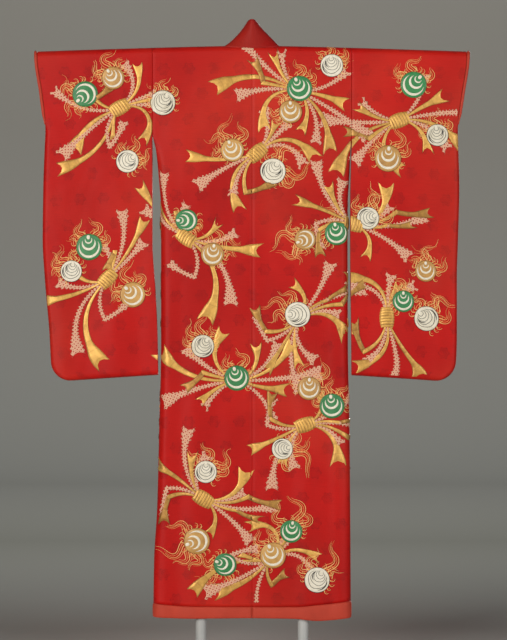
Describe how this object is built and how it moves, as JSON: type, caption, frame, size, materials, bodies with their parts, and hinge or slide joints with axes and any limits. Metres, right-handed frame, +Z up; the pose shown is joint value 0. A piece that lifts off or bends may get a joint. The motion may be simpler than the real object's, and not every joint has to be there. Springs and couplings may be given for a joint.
{
  "type": "uchikake wedding kimono on a display stand",
  "caption": "Long-sleeved padded outer kimono of red figured satin, hung open over the bar of a free-standing two-post display stand.",
  "frame": {"origin": "on the floor, under the middle of the object's box, between the two posts of the stand", "axes": "+Z up, from the base plate to the collar; +Y from the robe's back to its front; +X along the bar, towards the sleeve on the right of someone who looks at the robe's back"},
  "size_m": [1.3135, 0.38, 1.9575],
  "materials": {
    "satin": "red silk satin with a woven pattern of small roundels, embroidered",
    "lining": "orange-red plain silk",
    "stand": "pale grey powder coat, satin"
  },
  "bodies": {
    "root": {"body_left": "satin", "body_right": "satin", "okumi_left": "satin", "okumi_right": "satin", "collar": "satin", "sleeve_left": "satin", "sleeve_right": "satin", "cuff_left": "lining", "cuff_right": "lining", "front_edge_left": "lining", "front_edge_right": "lining", "hem_back_left": "lining", "hem_back_right": "lining", "hem_front_left": "lining", "hem_front_right": "lining", "crossbar": "stand", "post_left": "stand", "post_right": "stand", "flange_left": "stand", "flange_right": "stand", "base_plate": "stand"}
  },
  "joints": []
}
